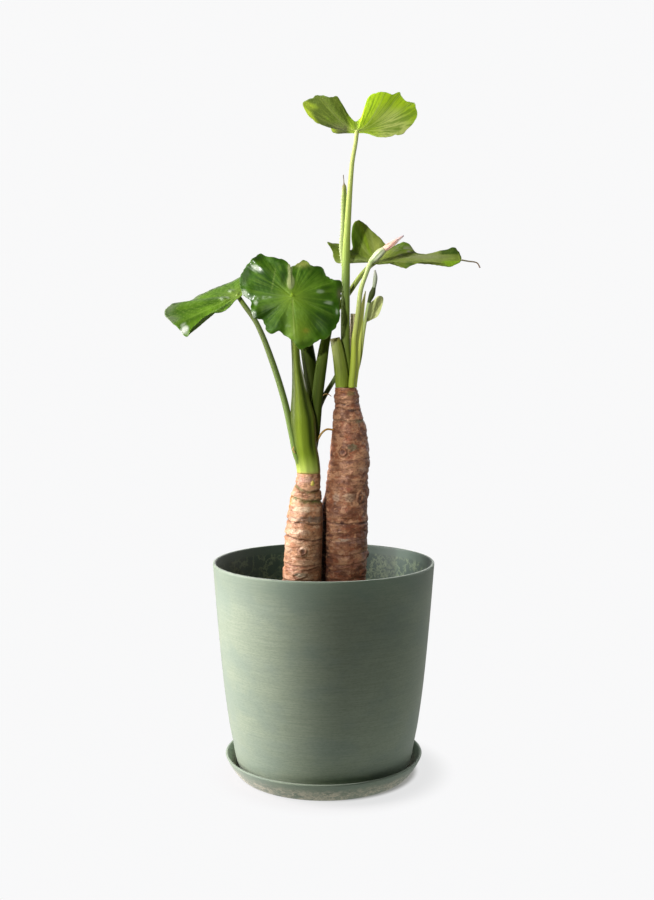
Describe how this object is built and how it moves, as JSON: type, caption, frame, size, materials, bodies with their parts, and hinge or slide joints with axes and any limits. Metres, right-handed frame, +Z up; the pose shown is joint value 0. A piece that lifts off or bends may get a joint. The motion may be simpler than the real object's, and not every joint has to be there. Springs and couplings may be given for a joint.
{
  "type": "potted night-scented lily",
  "caption": "Potted alocasia with ringed trunks, waved leaves and flower stalks, in a tapered green pot on a flared saucer.",
  "frame": {"origin": "on the pot's axis, at the centre of the saucer's flat underside", "axes": "+Z up along the pot's axis; -Y towards the front, where the front leaf faces; +X to the right seen from the front"},
  "size_m": [0.3812, 0.272, 0.8236],
  "materials": {
    "saucer": "matte",
    "pot": "matte",
    "soil": "rough",
    "trunk_left": "matte",
    "petiole_front": "satin",
    "leaf_front": "glossy",
    "petiole_left": "satin",
    "leaf_left": "glossy",
    "petiole_inner": "satin",
    "leaf_rolled_inner": "satin",
    "petiole_right": "satin",
    "leaf_right": "satin",
    "leaf_right_tip": "matte",
    "petiole_small": "satin",
    "leaf_small": "matte",
    "aerial_root": "matte",
    "bud_left": "satin",
    "trunk_right": "matte",
    "petiole_top": "satin",
    "leaf_top": "satin",
    "leaf_rolled_top": "satin",
    "sheath_cut": "satin",
    "stub_dry": "matte",
    "peduncle_open": "satin",
    "spathe_open_tube": "satin",
    "spathe_open_limb": "matte",
    "peduncle_bud": "satin",
    "spathe_bud_tube": "satin",
    "spathe_bud_limb": "matte",
    "bract_pointed": "satin"
  },
  "bodies": {
    "root": {"saucer": "saucer", "pot": "pot", "soil": "soil", "trunk_left": "trunk_left", "petiole_front": "petiole_front", "leaf_front": "leaf_front", "petiole_left": "petiole_left", "leaf_left": "leaf_left", "petiole_inner": "petiole_inner", "leaf_rolled_inner": "leaf_rolled_inner", "petiole_right": "petiole_right", "leaf_right": "leaf_right", "leaf_right_tip": "leaf_right_tip", "petiole_small": "petiole_small", "leaf_small": "leaf_small", "aerial_root": "aerial_root", "bud_left": "bud_left", "trunk_right": "trunk_right", "petiole_top": "petiole_top", "leaf_top": "leaf_top", "leaf_rolled_top": "leaf_rolled_top", "sheath_cut": "sheath_cut", "stub_dry": "stub_dry", "peduncle_open": "peduncle_open", "spathe_open_tube": "spathe_open_tube", "spathe_open_limb": "spathe_open_limb", "peduncle_bud": "peduncle_bud", "spathe_bud_tube": "spathe_bud_tube", "spathe_bud_limb": "spathe_bud_limb", "bract_pointed": "bract_pointed"}
  },
  "joints": []
}
